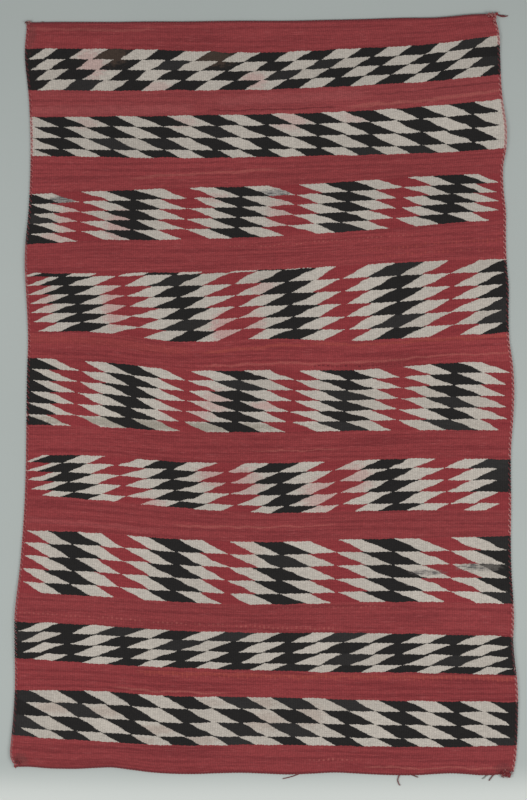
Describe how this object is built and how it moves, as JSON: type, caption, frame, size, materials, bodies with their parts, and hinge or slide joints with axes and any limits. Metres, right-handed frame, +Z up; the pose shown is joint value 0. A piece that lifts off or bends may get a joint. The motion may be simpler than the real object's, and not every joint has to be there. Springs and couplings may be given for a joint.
{
  "type": "woven rug",
  "caption": "Flat hand-woven wool rug with an uneven long outline, plain stripes between bands of leaning serrated lozenges, corded edges and knotted corners.",
  "frame": {"origin": "on the floor under the middle of the rug", "axes": "+X to the right across the rug and +Y to its upper end as the picture shows it, +Z up out of its face"},
  "size_m": [1.2444, 1.8965, 0.0074],
  "materials": {
    "woven_wool": "matte weft-faced wool, red ground with charcoal, undyed white and red motifs",
    "cord_wool": "matte twisted wool yarn, dark red with a paler strand down the sides",
    "knot_wool": "matte knotted wool yarn, worn dark red and brown"
  },
  "bodies": {
    "root": {"rug_cloth": "woven_wool", "side_cord_left": "cord_wool", "side_cord_right": "cord_wool", "end_cord_top": "cord_wool", "end_cord_bottom": "cord_wool", "corner_knot_top_left": "knot_wool", "corner_knot_top_right": "knot_wool", "corner_knot_bottom_left": "knot_wool", "corner_knot_bottom_right": "knot_wool"}
  },
  "joints": []
}
